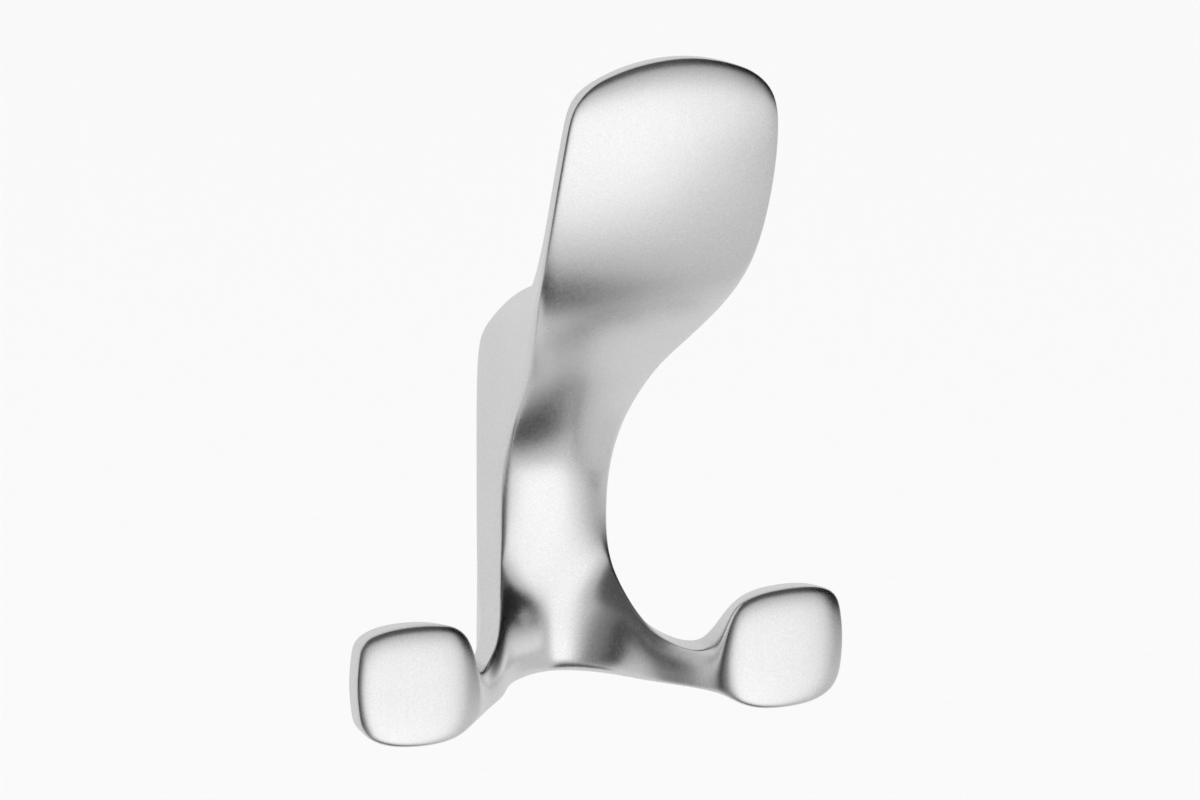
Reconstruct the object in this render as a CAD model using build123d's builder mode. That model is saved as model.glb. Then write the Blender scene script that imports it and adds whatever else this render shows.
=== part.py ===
from build123d import *
import os
from math import cos, radians, sin, tan

# Triple coat hook, a die-cast zinc body hung on a hidden steel wall bracket.
# Frame: +Z up, X to the right seen from the room, the wall is the plane y = 0
# and the hook stands out from it towards -Y. The origin is on the wall plane.

# --- casting: stem -----------------------------------------------------------
stem_width = 17.3
stem_depth = 9.2
stem_top_z = 29.2
stem_bottom_z = -28.6
stem_top_corner = 8.2

# --- casting: arms and small pads --------------------------------------------
arm_top_z = -25.4
arm_end_x = 25.0
arm_end_bottom_z = -31.6
arm_fillet_start_z = -7.5
arm_front_depth = 25.2
arm_back_depth = 22.0
arm_edge_fillet = 1.5
pad_width = 18.4
pad_height = 17.9
pad_corner = 7.4
pad_thickness = 4.2
pad_centre_x = 29.6
pad_centre_z = -24.2
pad_front_depth = 26.4
pad_yaw = 4.0
pad_edge_fillet = 1.5

# --- casting: upper hook -----------------------------------------------------
# Each station is (front depth, front height, back depth, back height,
# half width in front, half width behind).
hook_stations = (
    (9.0, -6.0, 4.0, -5.4, 8.2, 8.2),
    (11.2, 4.5, 4.0, 8.0, 8.45, 8.3),
    (15.3, 10.4, 3.6, 17.0, 8.8, 8.2),
    (20.7, 16.2, 4.2, 26.0, 9.9, 8.0),
    (27.0, 22.6, 10.4, 30.6, 12.3, 8.6),
    (33.6, 28.6, 22.8, 33.6, 14.9, 11.2),
    (40.0, 35.4, 35.2, 38.5, 16.6, 15.2),
    (44.6, 43.2, 41.6, 44.9, 17.1, 16.6),
    (47.6, 51.6, 44.9, 52.7, 17.2, 16.9),
    (49.8, 60.0, 47.1, 60.6, 16.9, 16.6),
    (51.2, 71.0, 48.5, 71.2, 16.3, 16.0),
)
tip_z = 69.2
tip_side_z = 66.6
tip_corner = 8.5
hook_edge_fillet = 1.1

# --- hidden fixing -----------------------------------------------------------
bracket_width = 10.0
bracket_height = 36.0
bracket_thickness = 3.0
bracket_bottom_z = -17.0
cleat_angle = 45.0
hole_spacing = 22.0
screw_shank_d = 3.5
screw_neck_d = 3.9
screw_head_d = 6.6
screw_length = 20.0
screw_core_d = 2.3
screw_pitch = 1.35
plain_length = 5.6
ridge_count = 8
head_angle = 90.0
head_land = 0.25
head_sink = 0.1
neck_reach = 0.1
hole_gap = 0.2
recess_width = 0.9
recess_span = 3.6
recess_depth = 1.7
recess_taper = 10.0
bracket_corner = 1.0
pocket_side_gap = 0.35
pocket_front_gap = 0.45
pocket_bottom_gap = 4.2
grub_d = 3.0
grub_length = 8.0
grub_hex = 1.5
grub_socket_depth = 1.8
grub_point = 0.5
grub_gap = 0.05
grub_y = 2.2
seat_gap = 0.02

hole_mid_z = bracket_bottom_z + bracket_height / 2 - 1.5
hole_zs = (hole_mid_z + hole_spacing / 2, hole_mid_z - hole_spacing / 2)
bracket_top_z = bracket_bottom_z + bracket_height


def smooth_outline(points, start_slope, end_slope):
    """Curve through the points, leaving and arriving along the two given directions."""
    return Spline(*points, tangents=(start_slope, end_slope))


# =============================================================================
# Small round-cornered pad, front face on its own plane, metal behind it
# =============================================================================
with BuildPart() as pad:
    with BuildSketch():
        RectangleRounded(pad_width, pad_height, pad_corner)
    extrude(amount=-pad_thickness)
    fillet(pad.faces().filter_by(GeomType.PLANE).filter_by(Axis.Z).edges(), pad_edge_fillet)

# =============================================================================
# Upper hook: rises out of the stem, leans to the room and widens to a blade
# =============================================================================
with BuildPart() as upper_hook:
    for front_d, front_z, back_d, back_z, half_front, half_back in hook_stations:
        across = Vector(0, back_d - front_d, front_z - back_z)
        middle = Vector(0, -(front_d + back_d) / 2, (front_z + back_z) / 2)
        cut = Plane(origin=middle, x_dir=(1, 0, 0), z_dir=Vector(1, 0, 0).cross(across))
        half_depth = across.length / 2
        with BuildSketch(cut):
            Polygon(
                (-half_back, -half_depth),
                (half_back, -half_depth),
                (half_front, half_depth),
                (-half_front, half_depth),
                align=None,
            )
    loft()
    # arched upper edge
    reach = 1.5 * stem_width
    with BuildSketch(Plane.XZ):
        with BuildLine():
            crown = ThreePointArc((-reach, tip_side_z), (0, tip_z), (reach, tip_side_z))
            Polyline(crown @ 1, (reach, -reach), (-reach, -reach), crown @ 0)
        make_face()
    extrude(amount=3 * reach, mode=Mode.INTERSECT)
    upper_edges = upper_hook.edges().filter_by(lambda e: e.center().Z > tip_side_z - 3 and e.length < 4)
    fillet(upper_edges, tip_corner)
    rims = upper_hook.edges().filter_by(lambda e: e.length > 4 and e.bounding_box().max.Z > stem_width)
    fillet(rims, hook_edge_fillet)

# =============================================================================
# Casting
# =============================================================================
with BuildPart() as hook_body:
    # front view of stem and arms, right half then mirrored
    side = stem_width / 2
    with BuildSketch(Plane.XZ):
        with BuildLine():
            floor_line = smooth_outline(
                [(0, stem_bottom_z), (12.0, stem_bottom_z - 0.9), (arm_end_x, arm_end_bottom_z)],
                (1, 0),
                (1, -0.1),
            )
            tip_line = Line(floor_line @ 1, (arm_end_x, arm_top_z))
            sweep_line = smooth_outline(
                [tip_line @ 1, (15.3, -22.6), (side + 2.6, -16.6), (side, arm_fillet_start_z)],
                (-1, 0),
                (0, 1),
            )
            wall_line = Line(sweep_line @ 1, (side, stem_top_z))
            top_line = Line(wall_line @ 1, (0, stem_top_z))
            Line(top_line @ 1, floor_line @ 0)
        make_face()
        mirror(about=Plane.YZ)
    extrude(amount=arm_front_depth + 1)
    shoulders = hook_body.edges().filter_by(Axis.Y).group_by(Axis.Z)[-1]
    fillet(shoulders, stem_top_corner)

    # plan view of the same metal: flat on the wall, arms curving out to the room
    with BuildSketch(Plane.XY.offset(-2 * pad_height)):
        with BuildLine():
            face_line = Line((0, -stem_depth), (5.0, -stem_depth))
            outer_line = smooth_outline(
                [face_line @ 1, (12.0, -14.6), (18.6, -23.0), (arm_end_x, -arm_front_depth)],
                (1, 0),
                (1, 0),
            )
            end_line = Line(outer_line @ 1, (arm_end_x, -arm_back_depth))
            inner_line = smooth_outline(
                [end_line @ 1, (17.2, -15.9), (side + 2.0, -4.2), (side, 0)],
                (-1, 0),
                (-0.2, 1),
            )
            wall_side = Line(inner_line @ 1, (0, 0))
            Line(wall_side @ 1, face_line @ 0)
        make_face()
        mirror(about=Plane.YZ)
    extrude(amount=4 * pad_height, mode=Mode.INTERSECT)

    # round every rim that is clear of the wall and of the pads
    fillet(
        hook_body.edges().filter_by(
            lambda e: e.bounding_box().max.Y < -0.5 and abs(e.center().X) < arm_end_x - 0.5 and e.length > 1
        ),
        arm_edge_fillet,
    )

    # pads face the room, turned slightly outwards
    for hand in (-1, 1):
        turn = hand * radians(pad_yaw)
        pad_plane = Plane(
            origin=(hand * pad_centre_x, -pad_front_depth, pad_centre_z),
            x_dir=(cos(turn), sin(turn), 0),
            z_dir=(sin(turn), -cos(turn), 0),
        )
        with Locations(pad_plane):
            add(pad.part)

    add(upper_hook.part)

    # pocket in the back with an undercut upper lip that hooks over the bracket
    pocket_depth = bracket_thickness + pocket_front_gap
    pocket_floor_z = bracket_bottom_z - pocket_bottom_gap
    lip_z = bracket_top_z - bracket_thickness * tan(radians(cleat_angle)) + seat_gap
    ceiling_z = lip_z + pocket_depth * tan(radians(cleat_angle))
    with BuildSketch(Plane.YZ):
        with BuildLine():
            Polyline(
                (0, pocket_floor_z),
                (0, lip_z),
                (-pocket_depth, ceiling_z),
                (-pocket_depth, pocket_floor_z),
                close=True,
            )
        make_face()
    extrude(amount=bracket_width / 2 + pocket_side_gap, both=True, mode=Mode.SUBTRACT)

    # tapped hole for the clamping screw, drilled up from the underside
    with Locations((0, -grub_y, bracket_bottom_z)):
        Cylinder(
            grub_d / 2 + grub_gap,
            bracket_bottom_z - stem_bottom_z + grub_d,
            align=(Align.CENTER, Align.CENTER, Align.MAX),
            mode=Mode.SUBTRACT,
        )

# =============================================================================
# Wall bracket: flat strip with a bevelled top edge and two countersunk holes
# =============================================================================
with BuildPart() as wall_bracket:
    with BuildSketch(Plane.XZ):
        with Locations((0, bracket_bottom_z + bracket_height / 2)):
            RectangleRounded(bracket_width, bracket_height, bracket_corner)
    extrude(amount=bracket_thickness)
    with BuildSketch(Plane.YZ):
        with BuildLine():
            Polyline(
                (0, bracket_top_z - bracket_thickness * tan(radians(cleat_angle))),
                (-bracket_thickness, bracket_top_z),
                (0, bracket_top_z),
                close=True,
            )
        make_face()
    extrude(amount=bracket_width, both=True, mode=Mode.SUBTRACT)
    for hole_z in hole_zs:
        front = Plane(origin=(0, -bracket_thickness, hole_z), x_dir=(1, 0, 0), z_dir=(0, -1, 0))
        with Locations(front):
            CounterSinkHole(
                screw_neck_d / 2 + hole_gap,
                screw_head_d / 2 + head_land + head_sink + hole_gap,
                counter_sink_angle=head_angle,
            )

# =============================================================================
# Countersunk wall screw, axis along Z while it is made, head up
# =============================================================================
head_height = (screw_head_d - screw_neck_d) / 2 / tan(radians(head_angle / 2))
neck_length = bracket_thickness - head_sink + neck_reach
with BuildPart() as wall_screw:
    with BuildSketch(Plane.XZ):
        with BuildLine():
            half_thread = screw_pitch / 2
            outline = [(0, 0), (screw_head_d / 2, 0), (screw_head_d / 2, -head_land)]
            outline.append((screw_neck_d / 2, -head_land - head_height))
            outline.append((screw_neck_d / 2, -neck_length))
            outline.append((screw_shank_d / 2, -neck_length))
            outline.append((screw_shank_d / 2, -plain_length))
            ridge_z = -plain_length
            for ridge in range(ridge_count):
                crest = screw_shank_d / 2
                outline.append((screw_core_d / 2, ridge_z - half_thread))
                outline.append((crest, ridge_z - screw_pitch))
                ridge_z = ridge_z - screw_pitch
            outline.append((screw_core_d / 2, ridge_z - half_thread))
            outline.append((0, -screw_length))
            Polyline(*outline, close=True)
        make_face()
    revolve(axis=Axis.Z)
    with BuildSketch(Plane.XY):
        Rectangle(recess_width, recess_span)
        Rectangle(recess_span, recess_width)
    extrude(amount=-recess_depth, taper=recess_taper, mode=Mode.SUBTRACT)

# =============================================================================
# Clamping grub screw: hexagon socket at the lower end, flat point at the top
# =============================================================================
with BuildPart() as grub_screw:
    with Locations((0, -grub_y, bracket_bottom_z - seat_gap)):
        Cylinder(grub_d / 2, grub_length, align=(Align.CENTER, Align.CENTER, Align.MAX))
    chamfer(grub_screw.edges().group_by(Axis.Z)[-1], grub_point)
    chamfer(grub_screw.edges().group_by(Axis.Z)[0], grub_point / 2)
    socket_z = bracket_bottom_z - seat_gap - grub_length
    with BuildSketch(Plane.XY.offset(socket_z)):
        with Locations((0, -grub_y)):
            RegularPolygon(grub_hex / 2, 6, major_radius=False)
    extrude(amount=grub_socket_depth, mode=Mode.SUBTRACT)

# =============================================================================
# Hand over
# =============================================================================
os.makedirs("parts", exist_ok=True)


def hand_over(shape, label):
    """Name the solid and write its STEP file."""
    shape.label = label
    export_step(shape, f"parts/{label}.step")


hand_over(hook_body.part, "hook_body")
hand_over(wall_bracket.part, "wall_bracket")
hand_over(grub_screw.part, "grub_screw")
for label, hole_z in zip(("wall_screw_upper", "wall_screw_lower"), hole_zs):
    head_plane = Plane(origin=(0, -bracket_thickness + head_sink, hole_z), x_dir=(1, 0, 0), z_dir=(0, -1, 0))
    hand_over(wall_screw.part.moved(head_plane.location), label)
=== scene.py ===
from collections import namedtuple
from math import cos, pi, radians, sin

import bmesh
import bpy
from mathutils import Matrix, Vector


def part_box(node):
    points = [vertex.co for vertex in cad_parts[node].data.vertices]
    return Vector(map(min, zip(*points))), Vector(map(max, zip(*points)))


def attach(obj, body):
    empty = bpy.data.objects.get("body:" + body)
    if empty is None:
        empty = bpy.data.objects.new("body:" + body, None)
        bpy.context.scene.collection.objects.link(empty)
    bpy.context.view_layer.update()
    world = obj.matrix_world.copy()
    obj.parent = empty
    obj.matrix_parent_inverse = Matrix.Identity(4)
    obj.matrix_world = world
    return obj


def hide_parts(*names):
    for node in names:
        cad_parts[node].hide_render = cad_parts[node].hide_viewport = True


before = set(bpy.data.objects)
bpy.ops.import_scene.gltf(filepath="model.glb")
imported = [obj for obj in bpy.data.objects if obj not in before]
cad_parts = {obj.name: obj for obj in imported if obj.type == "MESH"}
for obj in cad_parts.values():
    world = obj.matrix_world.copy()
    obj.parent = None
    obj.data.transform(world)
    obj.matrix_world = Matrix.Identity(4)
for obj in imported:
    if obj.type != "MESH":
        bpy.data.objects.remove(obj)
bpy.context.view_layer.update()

MM = 0.001
SCENE = bpy.context.scene


# =============================================================================
# Node networks written as expressions
# =============================================================================
class Wire:
    """A node's output that takes part in Python arithmetic."""

    def __init__(self, net, socket):
        self.net = net
        self.socket = socket

    def __add__(self, other):
        return self.net.math("ADD", self, other)

    def __radd__(self, other):
        return self.net.math("ADD", other, self)

    def __sub__(self, other):
        return self.net.math("SUBTRACT", self, other)

    def __rsub__(self, other):
        return self.net.math("SUBTRACT", other, self)

    def __mul__(self, other):
        return self.net.math("MULTIPLY", self, other)

    def __rmul__(self, other):
        return self.net.math("MULTIPLY", other, self)

    def __truediv__(self, other):
        return self.net.math("DIVIDE", self, other)

    def __rtruediv__(self, other):
        return self.net.math("DIVIDE", other, self)

    def __pow__(self, other):
        return self.net.math("POWER", self, other)

    def __neg__(self):
        return self.net.math("MULTIPLY", self, -1.0)

    def __abs__(self):
        return self.net.math("ABSOLUTE", self)


class Net:
    """Writes nodes into one tree."""

    def __init__(self, tree):
        self.tree = tree

    def node(self, kind, settings=None, **values):
        """A node of that type: its settings first, then its sockets by name, then its outputs."""
        made = self.tree.nodes.new(kind)
        for key, value in (settings or {}).items():
            setattr(made, key, value)
        for key, value in values.items():
            self.plug(made.inputs[key.replace("_", " ")], value)
        return made

    def plug(self, socket, value):
        """Links a wire to the socket, or sets the number or colour it holds."""
        if isinstance(value, Wire):
            self.tree.links.new(value.socket, socket)
        else:
            socket.default_value = value

    def out(self, node, name=0):
        """One output of a node as a wire."""
        return Wire(self, node.outputs[name])

    def math(self, operation, *terms):
        """A Math node."""
        made = self.tree.nodes.new("ShaderNodeMath")
        made.operation = operation
        for place, term in enumerate(terms):
            self.plug(made.inputs[place], term)
        return Wire(self, made.outputs[0])

    def ramp(self, value, low, high):
        """0 below low, 1 above high and a soft rise between them."""
        made = self.tree.nodes.new("ShaderNodeMapRange")
        made.interpolation_type = "SMOOTHSTEP"
        self.plug(made.inputs["Value"], value)
        made.inputs["From Min"].default_value = low
        made.inputs["From Max"].default_value = high
        return Wire(self, made.outputs["Result"])

    def clamp(self, value):
        """The value kept between 0 and 1."""
        made = self.tree.nodes.new("ShaderNodeClamp")
        self.plug(made.inputs["Value"], value)
        return Wire(self, made.outputs[0])

    def blend(self, share, first, second):
        """Colour that goes from first to second as share goes from 0 to 1."""
        made = self.tree.nodes.new("ShaderNodeMix")
        made.data_type = "RGBA"
        self.plug(made.inputs[0], share)
        self.plug(made.inputs[6], first)
        self.plug(made.inputs[7], second)
        return Wire(self, made.outputs[2])

    def stretched(self, scale, turn=(0, 0, 0)):
        """Object coordinates scaled along each axis."""
        place = self.out(self.node("ShaderNodeTexCoord"), "Object")
        return self.out(self.node("ShaderNodeMapping", Vector=place, Scale=scale, Rotation=turn))

    def noise(self, scale, detail=3.0, roughness=0.5, vector=None, distortion=0.0):
        """Noise from 0 to 1 on object coordinates."""
        place = vector or self.out(self.node("ShaderNodeTexCoord"), "Object")
        made = self.node(
            "ShaderNodeTexNoise",
            Vector=place,
            Scale=scale,
            Detail=detail,
            Roughness=roughness,
            Distortion=distortion,
        )
        return self.out(made, "Fac")


def finish_of(name):
    """A new material with its net and its shader."""
    made = bpy.data.materials.new(name)
    made.use_nodes = True
    net = Net(made.node_tree)
    shader = made.node_tree.nodes["Principled BSDF"]
    return made, net, shader


def relief(net, shader, height, depth):
    """A height from 0 to 1 shown as bumps of that depth in metres."""
    bump = net.node("ShaderNodeBump", Height=height, Distance=depth, Strength=1.0)
    net.plug(shader.inputs["Normal"], net.out(bump, "Normal"))


# =============================================================================
# Finishes
# =============================================================================
def satin_chrome():
    """Satin chrome plate over polished zinc: bead-blasted grain with faint polishing lines."""
    made, net, shader = finish_of("satin_chrome")
    grain = net.noise(4200.0, 2.0, 0.65)
    blast = net.noise(1500.0, 3.0, 0.55)
    cloud = net.noise(70.0, 3.0, 0.5)
    lines = net.noise(1.0, 3.0, 0.6, net.stretched((2600.0, 2600.0, 90.0), (0.0, 0.12, 0.3)))
    specks = net.ramp(net.noise(900.0, 1.0, 0.4), 0.74, 0.80)
    rubbed = net.ramp(net.noise(28.0, 4.0, 0.6), 0.45, 0.75)
    tone = net.clamp(0.5 + (cloud - 0.5) * 0.6 + (blast - 0.5) * 0.5 + (grain - 0.5) * 1.6)
    colour = net.blend(tone, (0.72, 0.722, 0.725, 1), (0.88, 0.88, 0.88, 1))
    net.plug(shader.inputs["Base Color"], net.blend(specks * 0.4, colour, (0.95, 0.95, 0.95, 1)))
    wear = (cloud - 0.5) * 0.05 + (lines - 0.5) * 0.06 - rubbed * 0.02
    net.plug(shader.inputs["Roughness"], net.clamp(0.25 + wear + (blast - 0.5) * 0.08 + specks * 0.06))
    shader.inputs["Metallic"].default_value = 1.0
    relief(net, shader, grain * 0.7 + blast * 0.4 + lines * 0.3 + cloud * 0.2, 5e-6)
    return made


def raw_casting():
    """Unplated zinc as it leaves the die, in the pocket behind the stem."""
    made, net, shader = finish_of("raw_casting")
    flow = net.noise(420.0, 5.0, 0.6, distortion=0.6)
    pits = net.ramp(net.noise(2400.0, 2.0, 0.5), 0.60, 0.72)
    colour = net.blend(flow, (0.34, 0.345, 0.35, 1), (0.50, 0.505, 0.51, 1))
    net.plug(shader.inputs["Base Color"], net.blend(pits * 0.6, colour, (0.20, 0.20, 0.205, 1)))
    net.plug(shader.inputs["Roughness"], net.clamp(0.52 + (flow - 0.5) * 0.25 + pits * 0.1))
    shader.inputs["Metallic"].default_value = 0.9
    relief(net, shader, flow - pits * 0.8, 4e-5)
    return made


def zinc_plate(name, bright, lengthwise):
    """Bright zinc plate on steel, rolled or turned along one direction."""
    made, net, shader = finish_of(name)
    lines = net.noise(1.0, 4.0, 0.65, net.stretched(lengthwise))
    bloom = net.noise(260.0, 4.0, 0.6, distortion=1.2)
    tone = net.clamp(bloom * 0.6 + lines * 0.4)
    dark = tuple(0.80 * level for level in bright)
    colour = net.blend(tone, (*dark, 1), (*bright, 1))
    net.plug(shader.inputs["Base Color"], colour)
    net.plug(shader.inputs["Roughness"], net.clamp(0.30 + (lines - 0.5) * 0.20 + (bloom - 0.5) * 0.12))
    shader.inputs["Metallic"].default_value = 1.0
    relief(net, shader, lines * 0.8 + bloom * 0.3, 8e-6)
    return made


def blackened_steel():
    """Oil-blackened hardened steel with bare metal showing on the crests."""
    made, net, shader = finish_of("blackened_steel")
    oxide = net.noise(700.0, 4.0, 0.6)
    rub = net.ramp(net.noise(1600.0, 3.0, 0.6), 0.58, 0.70)
    colour = net.blend(oxide, (0.035, 0.035, 0.038, 1), (0.075, 0.074, 0.075, 1))
    net.plug(shader.inputs["Base Color"], net.blend(rub * 0.5, colour, (0.28, 0.28, 0.29, 1)))
    net.plug(shader.inputs["Roughness"], net.clamp(0.40 + (oxide - 0.5) * 0.25 - rub * 0.1))
    shader.inputs["Metallic"].default_value = 1.0
    relief(net, shader, oxide, 8e-6)
    return made


def pale_floor():
    """Matt white board."""
    made, net, shader = finish_of("pale_board")
    fibre = net.noise(400.0, 4.0, 0.6)
    net.plug(shader.inputs["Base Color"], net.blend(fibre, (0.86, 0.86, 0.86, 1), (0.90, 0.90, 0.90, 1)))
    net.plug(shader.inputs["Roughness"], 0.75 + (fibre - 0.5) * 0.1)
    relief(net, shader, fibre, 3e-5)
    return made


# =============================================================================
# Mesh helpers
# =============================================================================
SAME_POINT = 1e-7
RIGHTWARD = Vector((1, 0, 0))
WALLWARD = Vector((0, 1, 0))
UPWARD = Vector((0, 0, 1))


def turn_outwards(mesh):
    """Merges points that coincide and turns every face outwards."""
    shell = bmesh.new()
    shell.from_mesh(mesh)
    bmesh.ops.remove_doubles(shell, verts=shell.verts, dist=SAME_POINT)
    bmesh.ops.recalc_face_normals(shell, faces=shell.faces)
    shell.to_mesh(mesh)
    shell.free()


def mesh_piece(name, points, faces):
    """An object with that mesh, its normals turned outwards."""
    made = bpy.data.meshes.new(name)
    made.from_pydata(points, [], faces)
    turn_outwards(made)
    piece = bpy.data.objects.new(name, made)
    SCENE.collection.objects.link(piece)
    return piece


def settle(piece):
    """Turns the piece and its modifiers into one plain mesh."""
    bpy.context.view_layer.update()
    look = piece.evaluated_get(bpy.context.evaluated_depsgraph_get())
    plain = bpy.data.meshes.new_from_object(look)
    plain.name = piece.name
    piece.modifiers.clear()
    piece.data = plain
    return piece


def modify(piece, kind, **settings):
    """Adds one modifier with its settings."""
    made = piece.modifiers.new(kind.lower(), kind)
    for key, value in settings.items():
        setattr(made, key, value)
    return made


def carve(piece, cutter):
    """Takes the cutter's shape out of the piece and removes the cutter."""
    modify(piece, "BOOLEAN", operation="DIFFERENCE", solver="EXACT", object=cutter)
    settle(piece)
    bpy.data.objects.remove(cutter)


def dress(piece, finish, sharp=35.0):
    """Gives the piece one finish and smooth shading up to that angle."""
    piece.data.materials.clear()
    piece.data.materials.append(finish)
    for face in piece.data.polygons:
        face.use_smooth = True
        face.material_index = 0
    piece.data.set_sharp_from_angle(angle=radians(sharp))
    return piece


def prism(name, outline, low, high, axis):
    """A closed prism: outline points in the two other axes, drawn from low to high along X or Z."""
    count = len(outline)
    if axis is RIGHTWARD:
        points = [(level, a, b) for level in (low, high) for a, b in outline]
    else:
        points = [(a, b, level) for level in (low, high) for a, b in outline]
    sides = [(k, (k + 1) % count, (k + 1) % count + count, k + count) for k in range(count)]
    ends = [tuple(range(count)), tuple(range(count, 2 * count))]
    return mesh_piece(name, points, sides + ends)


def lathe(name, profile, centre, axis, steps=48):
    """A closed turned shape: profile points (radius, distance along axis) that start and end on the axis."""
    tilt = axis.to_track_quat("Z", "Y").to_matrix()
    points = []
    rings = []
    for radius, along in profile:
        count = steps if radius > SAME_POINT else 1
        rings.append(range(len(points), len(points) + count))
        for k in range(count):
            angle = 2 * pi * k / steps
            points.append(centre + tilt @ Vector((radius * cos(angle), radius * sin(angle), along)))
    faces = []
    for lower, upper in zip(rings, rings[1:]):
        for k in range(steps):
            corners = [
                lower[k % len(lower)],
                lower[(k + 1) % len(lower)],
                upper[(k + 1) % len(upper)],
                upper[k % len(upper)],
            ]
            faces.append(tuple(dict.fromkeys(corners)))
    return mesh_piece(name, points, [face for face in faces if len(face) > 2])


# =============================================================================
# Casting: a control cage of the right half, mirrored and subdivided
# =============================================================================
# Distances are in millimetres. "out" is measured from the wall into the room.
# A rung crosses the stem or the upper hook and joins its front line to its back line.
# Its front is rounded by crown towards the edges, or hollowed by valley between the arms.
Rung = namedtuple(
    "Rung",
    "front_out front_up front_half back_out back_up back_half front_drop back_drop crown valley",
)
# A rib crosses an arm or a pad and joins its front edge to its back edge.
# Its lower half leans out by lean, its ends are set back by sink, and bow pushes its middle sideways.
Rib = namedtuple(
    "Rib",
    "front_x front_out front_low front_high back_x back_out back_low back_high lean bow sink",
)

STEM_AND_HOOK = (
    Rung(7.5, -28.8, 8.8, 0.0, -28.6, 9.1, 0.6, 0.4, 0.0, 4.4),
    Rung(9.2, -26.8, 8.9, 0.0, -27.2, 9.2, 0.4, 0.2, 0.0, 4.4),
    Rung(9.4, -23.0, 9.0, 0.0, -22.6, 9.1, 0.0, 0.0, 0.0, 4.2),
    Rung(9.4, -18.2, 9.0, 0.0, -17.0, 9.0, 0.0, 0.0, 0.0, 3.2),
    Rung(9.9, -13.2, 8.9, 0.0, -11.7, 8.75, 0.0, 0.0, 1.4, 1.0),
    Rung(10.6, -6.0, 8.7, 0.0, -5.5, 8.75, 0.0, 0.0, 1.8, 0.0),
    Rung(11.2, 0.3, 8.9, 0.0, 2.0, 8.75, 0.0, 0.0, 2.0, 0.0),
    Rung(13.1, 5.2, 9.3, 0.0, 10.0, 8.75, 0.0, 0.0, 2.2, 0.0),
    Rung(16.4, 10.5, 9.7, 0.0, 18.0, 8.7, 0.0, 1.0, 2.1, 0.0),
    Rung(21.3, 16.0, 10.6, 0.0, 26.2, 8.2, 0.0, 5.0, 1.8, 0.0),
    Rung(24.5, 19.2, 11.4, 3.0, 29.0, 7.4, 0.0, 6.0, 1.6, 0.0),
    Rung(28.0, 22.3, 12.7, 9.0, 29.9, 7.6, 0.0, 4.0, 1.4, 0.0),
    Rung(35.2, 28.4, 15.3, 22.4, 33.0, 10.2, 0.0, 2.0, 1.3, 0.0),
    Rung(41.5, 35.0, 17.0, 35.2, 38.2, 14.6, 0.0, 0.0, 1.3, 0.0),
    Rung(45.7, 43.0, 17.3, 41.7, 44.8, 16.4, 0.0, 0.0, 1.3, 0.0),
    Rung(48.9, 51.2, 17.2, 45.1, 52.3, 16.8, 0.0, 0.0, 1.4, 0.0),
    Rung(50.9, 58.6, 16.8, 47.0, 59.2, 16.4, 0.3, 0.3, 1.4, 0.0),
    Rung(51.3, 65.2, 15.9, 47.6, 66.0, 15.7, 2.2, 2.2, 1.5, 0.0),
    Rung(50.6, 69.2, 12.8, 47.9, 69.2, 12.6, 3.3, 3.3, 0.8, 0.0),
)
ARM_AND_PAD = (
    Rib(11.4, 14.8, -29.4, -20.8, 11.2, 8.0, -29.2, -18.8, 2.0, 0.0, 0.0),
    Rib(14.0, 17.7, -29.6, -23.2, 13.4, 11.6, -29.4, -21.9, 1.8, 0.0, 0.0),
    Rib(16.7, 21.2, -29.8, -24.5, 16.2, 15.8, -29.6, -23.6, 1.1, 0.0, 0.0),
    Rib(19.1, 24.4, -30.2, -23.9, 19.2, 19.6, -30.2, -23.6, 0.5, -0.5, 0.2),
    Rib(20.7, 26.1, -31.0, -17.5, 21.4, 22.0, -31.3, -18.0, 0.0, -0.8, 0.5),
    Rib(24.2, 26.9, -33.3, -15.0, 25.2, 22.6, -33.1, -15.2, 0.0, 0.0, 0.5),
    Rib(35.0, 26.8, -33.1, -14.9, 34.4, 22.2, -32.7, -15.1, 0.0, 0.0, 0.5),
    Rib(38.1, 25.9, -30.2, -17.0, 37.8, 21.9, -30.0, -17.2, 0.0, 1.0, 0.6),
)
ACROSS_HALF = (0.0, 0.5, 0.82, 1.0)
ACROSS_JUNCTION = (0.0, 0.32, 0.66, 1.0)
UP_THE_ARM = (0.0, 0.14, 0.5, 0.86, 1.0)
THROUGH = (0.0, 0.24, 0.76, 1.0)
VALLEY_POWER = 1.7

# hidden fixing, in metres
POCKET_SIDE_GAP = 0.35 * MM
POCKET_FRONT_GAP = 0.45 * MM
POCKET_BELOW_BRACKET = 4.2 * MM
POCKET_CORNER = 0.35 * MM
LIP_GAP = 0.02 * MM
TAPPING_GAP = 0.05 * MM
TAPPING_MOUTH_UP = -28.75 * MM
TAPPING_CHAMFER = 0.35 * MM
BRACKET_EDGE = 0.22 * MM
SCREW_HOLE = 2.0 * MM
SCREW_SINK = 3.85 * MM
PAST = 2.0 * MM


def rung_point(rung, share, depth):
    """A point on a rung: share of the half width, depth from front (0) to back (1)."""
    bend = share * share
    out = rung.front_out - rung.crown * bend + rung.valley * share**VALLEY_POWER
    front = Vector((rung.front_half * share, -out, rung.front_up - rung.front_drop * bend))
    back = Vector((rung.back_half * share, -rung.back_out, rung.back_up - rung.back_drop * bend))
    return front.lerp(back, depth) * MM


def rib_point(rib, share, depth):
    """A point on a rib: share of its height, depth from front (0) to back (1)."""
    swell = rib.bow * 4 * share * (1 - share)
    edge = rib.sink if share in (0.0, 1.0) else 0.0
    out = rib.front_out + rib.lean * min(1, 2 - 2 * share) - edge
    front = Vector((rib.front_x + swell, -out, rib.front_low + (rib.front_high - rib.front_low) * share))
    back = Vector((rib.back_x + swell, -rib.back_out, rib.back_low + (rib.back_high - rib.back_low) * share))
    return front.lerp(back, depth) * MM


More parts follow.
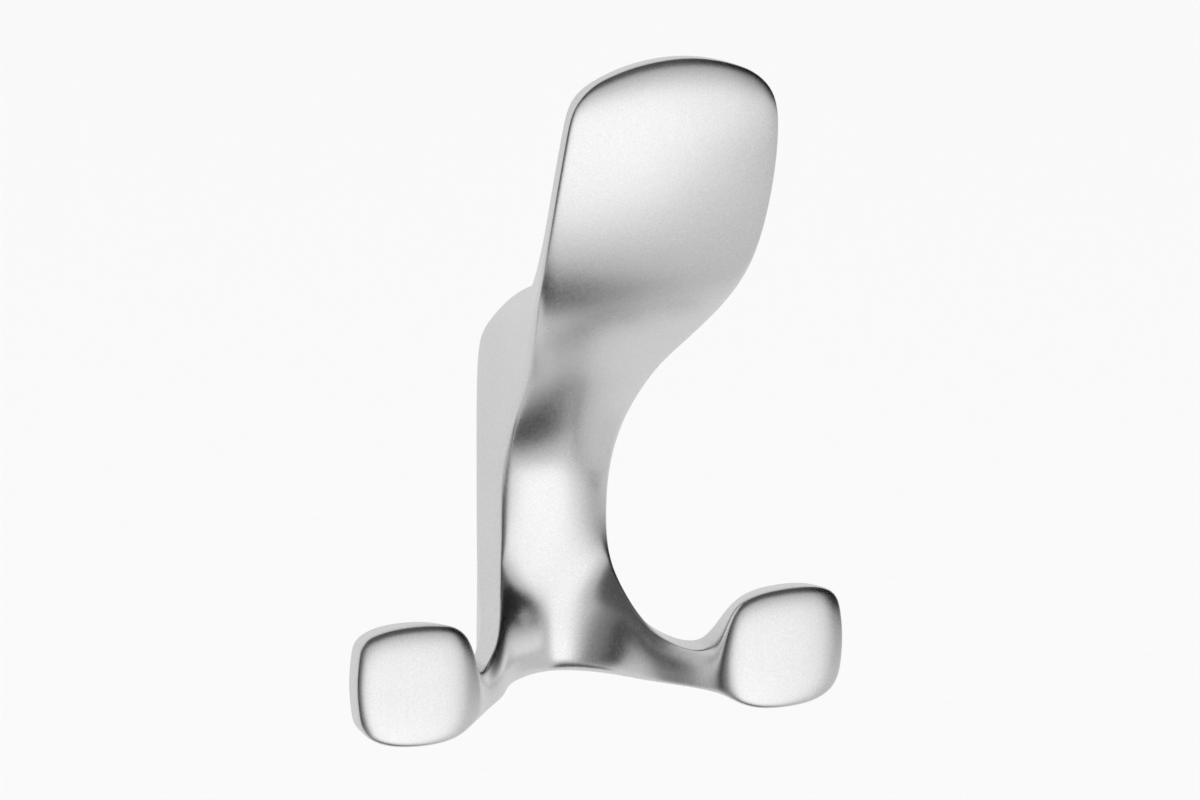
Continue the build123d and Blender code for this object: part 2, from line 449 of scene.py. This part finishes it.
def half_cage():
    """Points and faces of the right half. The arm leaves the side of the lowest bays of the stem."""
    points = []
    names = {}
    faces = []

    def stem(row, column, layer):
        key = ("stem", row, column, layer)
        if key not in names:
            names[key] = len(points)
            columns = ACROSS_JUNCTION if row < len(UP_THE_ARM) - 1 else ACROSS_HALF
            points.append(rung_point(STEM_AND_HOOK[row], columns[column], THROUGH[layer]))
        return names[key]

    def arm(station, height, layer):
        if station < 0:
            return stem(height, 3, layer)
        key = ("arm", station, height, layer)
        if key not in names:
            names[key] = len(points)
            points.append(rib_point(ARM_AND_PAD[station], UP_THE_ARM[height], THROUGH[layer]))
        return names[key]

    def patch(corner, first, second):
        """Faces of one side of the cage, corner(i, j) for each step of the two counts."""
        for i in first:
            for j in second:
                faces.append((corner(i, j), corner(i + 1, j), corner(i + 1, j + 1), corner(i, j + 1)))

    top = len(STEM_AND_HOOK) - 1
    end = len(ARM_AND_PAD) - 1
    brow = len(UP_THE_ARM) - 1
    three = range(3)
    for layer in (0, 3):
        patch(lambda row, column: stem(row, column, layer), range(top), three)
        patch(lambda station, height: arm(station, height, layer), range(-1, end), range(brow))
    patch(lambda row, layer: stem(row, 3, layer), range(brow, top), three)
    for row in (0, top):
        patch(lambda column, layer: stem(row, column, layer), three, three)
    for height in (0, brow):
        patch(lambda station, layer: arm(station, height, layer), range(-1, end), three)
    patch(lambda height, layer: arm(end, height, layer), range(brow), three)
    return points, faces


def casting(bracket_low, bracket_high, grub_low, grub_high):
    """The whole hook with its pocket and its tapped hole."""
    points, faces = half_cage()
    piece = mesh_piece("hook_casting", points, faces)
    modify(piece, "MIRROR", use_clip=True, merge_threshold=1e-6)
    settle(piece)
    turn_outwards(piece.data)
    modify(piece, "SUBSURF", levels=3, render_levels=3)
    settle(piece)

    # pocket with an undercut lip at the top
    half = (bracket_high.x - bracket_low.x) / 2 + POCKET_SIDE_GAP
    depth = -bracket_low.y + POCKET_FRONT_GAP
    floor_up = bracket_low.z - POCKET_BELOW_BRACKET
    lip_up = bracket_high.z + bracket_low.y + LIP_GAP
    beyond = 1.0 * MM
    outline = [(beyond, floor_up), (beyond, lip_up - beyond), (-depth, lip_up + depth), (-depth, floor_up)]
    pocket = prism("pocket", outline, -half, half, RIGHTWARD)
    modify(pocket, "BEVEL", width=POCKET_CORNER, segments=3, limit_method="ANGLE", angle_limit=radians(30))
    settle(pocket)
    carve(piece, pocket)

    # tapped hole with a countersunk mouth
    radius = (grub_high.x - grub_low.x) / 2 + TAPPING_GAP
    middle = (grub_low.y + grub_high.y) / 2
    inner_end = bracket_low.z - TAPPING_MOUTH_UP
    profile = [
        (0, -PAST),
        (radius + PAST + TAPPING_CHAMFER, -PAST),
        (radius, TAPPING_CHAMFER),
        (radius, inner_end),
        (0, inner_end),
    ]
    carve(piece, lathe("tapping", profile, Vector((0, middle, TAPPING_MOUTH_UP)), UPWARD))
    return piece, Vector((-half, -depth, floor_up)), Vector((half, 0, lip_up + depth))


def line_pocket(piece, finish, low, high):
    """The unplated metal inside the pocket."""
    near = 0.02 * MM
    piece.data.materials.append(finish)
    for face in piece.data.polygons:
        centre = face.center
        across = low.x - near < centre.x < high.x + near
        within = low.y - near < centre.y < high.y - near
        along = low.z - near < centre.z < high.z + near
        if across and within and along:
            face.material_index = 1


# =============================================================================
# Hidden bracket
# =============================================================================
def bracket(low, high, holes, hole_radius, sink_radius):
    """Bevelled plate with two countersunk holes."""
    thick = high.y - low.y
    outline = [(high.y, low.z), (low.y, low.z), (low.y, high.z), (high.y, high.z - thick)]
    piece = prism("bracket_plate", outline, low.x, high.x, RIGHTWARD)
    for hole_up in holes:
        profile = [
            (0, -PAST),
            (sink_radius + PAST, -PAST),
            (hole_radius, sink_radius - hole_radius),
            (hole_radius, thick + PAST),
            (0, thick + PAST),
        ]
        carve(piece, lathe("drill", profile, Vector((0, low.y, hole_up)), WALLWARD, 64))
    modify(piece, "BEVEL", width=BRACKET_EDGE, segments=3, limit_method="ANGLE", angle_limit=radians(35))
    return settle(piece)


# =============================================================================
# Screws: a turned rod whose skin follows a helix
# =============================================================================
SIZES = (
    "Length",
    "Head Radius",
    "Head Land",
    "Neck Radius",
    "Crest Radius",
    "Core Radius",
    "Pitch",
    "Thread Start",
    "Point Length",
    "End Chamfer",
)
RECESS_SLOT = 0.9 * MM
RECESS_SPAN = 3.8 * MM
RECESS_ABOVE = 0.5 * MM
RECESS_DEEP = 1.9 * MM
RECESS_TAPER = 0.55
KEY_HALF = 0.75 * MM
KEY_DEEP = 1.8 * MM


def threaded_rod_tree():
    """Node tree of a rod down -Z from the origin: head, neck, helical thread and point."""
    tree = bpy.data.node_groups.new("threaded_rod", "GeometryNodeTree")
    tree.interface.new_socket("Geometry", in_out="OUTPUT", socket_type="NodeSocketGeometry")
    for size in SIZES:
        tree.interface.new_socket(size, in_out="INPUT", socket_type="NodeSocketFloat")
    tree.interface.new_socket("Finish", in_out="INPUT", socket_type="NodeSocketMaterial")
    net = Net(tree)
    given = net.node("NodeGroupInput")
    size = {name: net.out(given, name) for name in SIZES}
    rod = net.node(
        "GeometryNodeMeshCylinder",
        {"fill_type": "NGON"},
        Vertices=64,
        Side_Segments=400,
        Radius=1.0,
        Depth=size["Length"],
    )
    where = net.node("ShaderNodeSeparateXYZ", Vector=net.out(net.node("GeometryNodeInputPosition")))
    x, y, z = (net.out(where, name) for name in "XYZ")
    down = size["Length"] * 0.5 - z

    # the thread rises out of the core and dies out before the point
    turn = net.math("ARCTAN2", y, x) / (2 * pi)
    phase = net.math("FRACT", down / size["Pitch"] + turn)
    ridge = net.ramp(1.0 - abs(phase * 2.0 - 1.0), 0.40, 0.94)
    started = net.clamp((down - size["Thread Start"]) / (size["Pitch"] * 0.7))
    core = size["Crest Radius"] + (size["Core Radius"] - size["Crest Radius"]) * started
    left = net.clamp((size["Length"] - down) / size["Point Length"])
    pointed = 0.03 + 0.97 * left ** 0.8
    dying = net.clamp((left - 0.12) * 1.5)
    body = core * pointed + (size["Crest Radius"] - core) * ridge * dying

    # neck and countersunk head
    neck = net.clamp((down - size["Thread Start"] * 0.62) / (0.12 * MM))
    rodded = size["Neck Radius"] + (body - size["Neck Radius"]) * neck
    cone = size["Head Radius"] - net.math("MAXIMUM", down - size["Head Land"], 0.0)
    headed = net.math("MAXIMUM", rodded, cone)

    # chamfer at both ends of a screw that has no head
    ends = net.math("MINIMUM", down, size["Length"] - down)
    cut = net.math("MAXIMUM", size["End Chamfer"] - ends, 0.0)
    flare = net.math("MAXIMUM", cone - size["Crest Radius"], 0.0)
    chamfered = net.math("MINIMUM", headed, size["Crest Radius"] - cut + flare)
    use_chamfer = net.math("GREATER_THAN", size["End Chamfer"], 0.0)
    radius = headed + (chamfered - headed) * use_chamfer

    flat = net.math("SQRT", x * x + y * y)
    inner = net.math("MAXIMUM", flat, 1e-9)
    target = net.node("ShaderNodeCombineXYZ", X=x / inner * radius, Y=y / inner * radius, Z=-down)
    moved = net.node("GeometryNodeSetPosition", Geometry=net.out(rod, "Mesh"), Position=net.out(target))
    whole = net.node("GeometryNodeRealizeInstances", Geometry=net.out(moved))
    dressed = net.node("GeometryNodeSetMaterial", Geometry=net.out(whole), Material=net.out(given, "Finish"))
    result = net.node("NodeGroupOutput")
    net.plug(result.inputs["Geometry"], net.out(dressed))
    return tree


def threaded_rod(tree, name, finish, sizes, head_at, axis):
    """One screw, its head at head_at and its point along axis."""
    piece = mesh_piece(name, [(0, 0, 0)], [])
    maker = piece.modifiers.new("thread", "NODES")
    maker.node_group = tree
    for item in tree.interface.items_tree:
        if item.in_out == "INPUT" and item.name in sizes:
            maker[item.identifier] = sizes[item.name] * MM
        if item.in_out == "INPUT" and item.name == "Finish":
            maker[item.identifier] = finish
    settle(piece)
    turn = (-axis).to_track_quat("Z", "Y").to_matrix().to_4x4()
    piece.data.transform(Matrix.Translation(head_at) @ turn)
    return piece


def cross_recess(piece, face_at, axis):
    """Tapered cross in a screw head."""
    turn = axis.to_track_quat("Z", "Y").to_matrix().to_4x4()
    for wide, long in ((RECESS_SLOT, RECESS_SPAN), (RECESS_SPAN, RECESS_SLOT)):
        mouth = [(-wide / 2, -long / 2), (wide / 2, -long / 2), (wide / 2, long / 2), (-wide / 2, long / 2)]
        points = [Vector((a, b, -RECESS_ABOVE)) for a, b in mouth]
        points += [Vector((a * RECESS_TAPER, b * RECESS_TAPER, RECESS_DEEP)) for a, b in mouth]
        faces = [(0, 1, 2, 3), (4, 5, 6, 7), (0, 1, 5, 4), (1, 2, 6, 5), (2, 3, 7, 6), (3, 0, 4, 7)]
        cutter = mesh_piece("recess", points, faces)
        cutter.data.transform(Matrix.Translation(face_at) @ turn)
        carve(piece, cutter)


# =============================================================================
# Build the object
# =============================================================================
chrome = satin_chrome()
raw = raw_casting()
strip = zinc_plate("rolled_zinc_plate", (0.66, 0.67, 0.70), (3000.0, 3000.0, 120.0))
turned = zinc_plate("turned_zinc_plate", (0.70, 0.70, 0.71), (900.0, 4200.0, 900.0))
black = blackened_steel()

plate_low, plate_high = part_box("wall_bracket")
clamp_low, clamp_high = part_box("grub_screw")

hook, pocket_low, pocket_high = casting(plate_low, plate_high, clamp_low, clamp_high)
dress(hook, chrome, 40.0)
line_pocket(hook, raw, pocket_low, pocket_high)
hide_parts("hook_body")
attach(hook, "hook")

wall_screws = {"upper_screw": "wall_screw_upper", "lower_screw": "wall_screw_lower"}
screw_boxes = [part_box(node) for node in wall_screws.values()]
screw_ups = [(low.z + high.z) / 2 for low, high in screw_boxes]
plate = bracket(plate_low, plate_high, screw_ups, SCREW_HOLE, SCREW_SINK)
dress(plate, strip)
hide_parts("wall_bracket")
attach(plate, "wall_side")

rod_tree = threaded_rod_tree()
WALL_SCREW = {
    "Length": 20.0,
    "Head Radius": 3.3,
    "Head Land": 0.25,
    "Neck Radius": 1.75,
    "Crest Radius": 1.72,
    "Core Radius": 1.15,
    "Pitch": 1.35,
    "Thread Start": 5.0,
    "Point Length": 4.0,
    "End Chamfer": 0.0,
}
for (name, node), (low, high) in zip(wall_screws.items(), screw_boxes):
    head = Vector(((low.x + high.x) / 2, low.y, (low.z + high.z) / 2))
    screw = threaded_rod(rod_tree, name, turned, WALL_SCREW, head, WALLWARD)
    cross_recess(screw, head, WALLWARD)
    dress(screw, turned, 55.0)
    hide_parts(node)
    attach(screw, "wall_side")

CLAMP_SCREW = {
    "Length": 8.0,
    "Head Radius": 0.2,
    "Head Land": 0.0,
    "Neck Radius": 1.3,
    "Crest Radius": 1.5,
    "Core Radius": 1.2,
    "Pitch": 0.5,
    "Thread Start": 0.0,
    "Point Length": 0.001,
    "End Chamfer": 0.45,
}
foot = Vector(((clamp_low.x + clamp_high.x) / 2, (clamp_low.y + clamp_high.y) / 2, clamp_low.z))
grub = threaded_rod(rod_tree, "clamp_screw", black, CLAMP_SCREW, foot, UPWARD)
reach = KEY_HALF / cos(pi / 6)
hexagon = [(reach * cos(pi * k / 3), reach * sin(pi * k / 3) + foot.y) for k in range(6)]
carve(grub, prism("key_socket", hexagon, foot.z - PAST, foot.z + KEY_DEEP, UPWARD))
dress(grub, black, 50.0)
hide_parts("grub_screw")
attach(grub, "clamp")


# =============================================================================
# Floor, light and camera
# =============================================================================
FLOOR_UP = -0.30
FLOOR_RADIUS = 6.0
BOARD_THICKNESS = 0.01

# Directions in degrees: the side angle is 0 into the room and positive to the right,
# and the height is above level. Levels are brightness, where 1 is white.
CLOTH_LEVEL = 0.74
NEAR_CLOTH_SIDES = (-90.0, 104.0)
NEAR_CLOTH_DROP = 0.12
NEAR_CLOTH_SOFT = 12.0
PLAIN_LEVEL = 1.12
SOFT_BOX_SIDES = (-12.0, 39.0, 12.0)
SOFT_BOX_HEIGHTS = (-53.0, -4.0, 9.0)
SOFT_BOX_LEVEL = 1.20
Flag = namedtuple("Flag", "level sides heights soft")
FLAGS = (
    Flag(0.20, (-71.0, -24.0), (-60.0, 14.0), 8.0),
    Flag(0.04, (-66.0, -44.0), (-40.0, 22.0), 6.0),
    Flag(0.08, (-57.0, 106.0), (13.0, 60.0), 5.0),
    Flag(0.01, (44.0, 106.0), (-9.0, 40.0), 7.0),
    Flag(0.05, (-110.0, 116.0), (-100.0, -67.0), 7.0),
)

TURN = radians(25.0)
RISE = radians(11.6)
DISTANCE = 1.5
FIELD_WIDTH = 0.1757
SENSOR_WIDTH = 36.0
AIM_RIGHT = 0.01047
AIM_UP = 0.01025


def board(up, reach):
    """A round pale board under the object."""
    rim = [(0, 0), (reach, 0), (reach, -BOARD_THICKNESS), (0, -BOARD_THICKNESS)]
    piece = lathe("floor_board", rim, Vector((0, 0, up)), UPWARD, 96)
    return dress(piece, pale_floor())


def between(net, value, low, high, soft):
    """1 where the value lies between low and high, with an edge that fades over soft on each side."""
    entering = net.ramp(value, low - soft, low + soft)
    return entering * (1.0 - net.ramp(value, high - soft, high + soft))


def studio():
    """Light tent: a soft box before the object, dark flags round it and pale cloth behind."""
    world = bpy.data.worlds.new("studio")
    SCENE.world = world
    world.use_nodes = True
    world.cycles.sampling_method = "NONE"
    net = Net(world.node_tree)
    back = world.node_tree.nodes["Background"]
    way = net.node("ShaderNodeSeparateXYZ", Vector=net.out(net.node("ShaderNodeTexCoord"), "Generated"))
    x, y, z = (net.out(way, name) for name in "XYZ")
    degree = 180.0 / pi
    turn = net.math("ARCTAN2", x, -y) * degree
    rise = net.math("ARCSINE", z) * degree

    level = CLOTH_LEVEL - between(net, turn, *NEAR_CLOTH_SIDES, NEAR_CLOTH_SOFT) * NEAR_CLOTH_DROP
    for flag in FLAGS:
        shade = between(net, turn, *flag.sides, flag.soft) * between(net, rise, *flag.heights, flag.soft)
        level = level + (flag.level - level) * shade
    box = between(net, turn, *SOFT_BOX_SIDES) * between(net, rise, *SOFT_BOX_HEIGHTS)
    level = level + (SOFT_BOX_LEVEL - level) * box

    # the backdrop and matt surfaces get plain even light
    path = net.node("ShaderNodeLightPath")
    plain = net.math("MAXIMUM", net.out(path, "Is Camera Ray"), net.out(path, "Is Diffuse Ray"))
    level = level + (PLAIN_LEVEL - level) * plain
    colour = net.node("ShaderNodeCombineColor", Red=level, Green=level, Blue=level)
    net.plug(back.inputs["Color"], net.out(colour))


floor = board(FLOOR_UP, FLOOR_RADIUS)
floor.visible_glossy = False
studio()
SCENE.view_settings.view_transform = "Standard"

right = Vector((cos(TURN), -sin(TURN), 0))
away = Vector((-sin(TURN) * cos(RISE), -cos(TURN) * cos(RISE), sin(RISE)))
upward = away.cross(right)
camera = bpy.data.cameras.new("camera")
camera.sensor_width = SENSOR_WIDTH
camera.lens = SENSOR_WIDTH * DISTANCE / FIELD_WIDTH
camera.clip_end = 100.0
viewer = bpy.data.objects.new("camera", camera)
SCENE.collection.objects.link(viewer)
viewer.location = right * AIM_RIGHT + upward * AIM_UP + away * DISTANCE
viewer.rotation_mode = "QUATERNION"
viewer.rotation_quaternion = away.to_track_quat("Z", "Y")
SCENE.camera = viewer
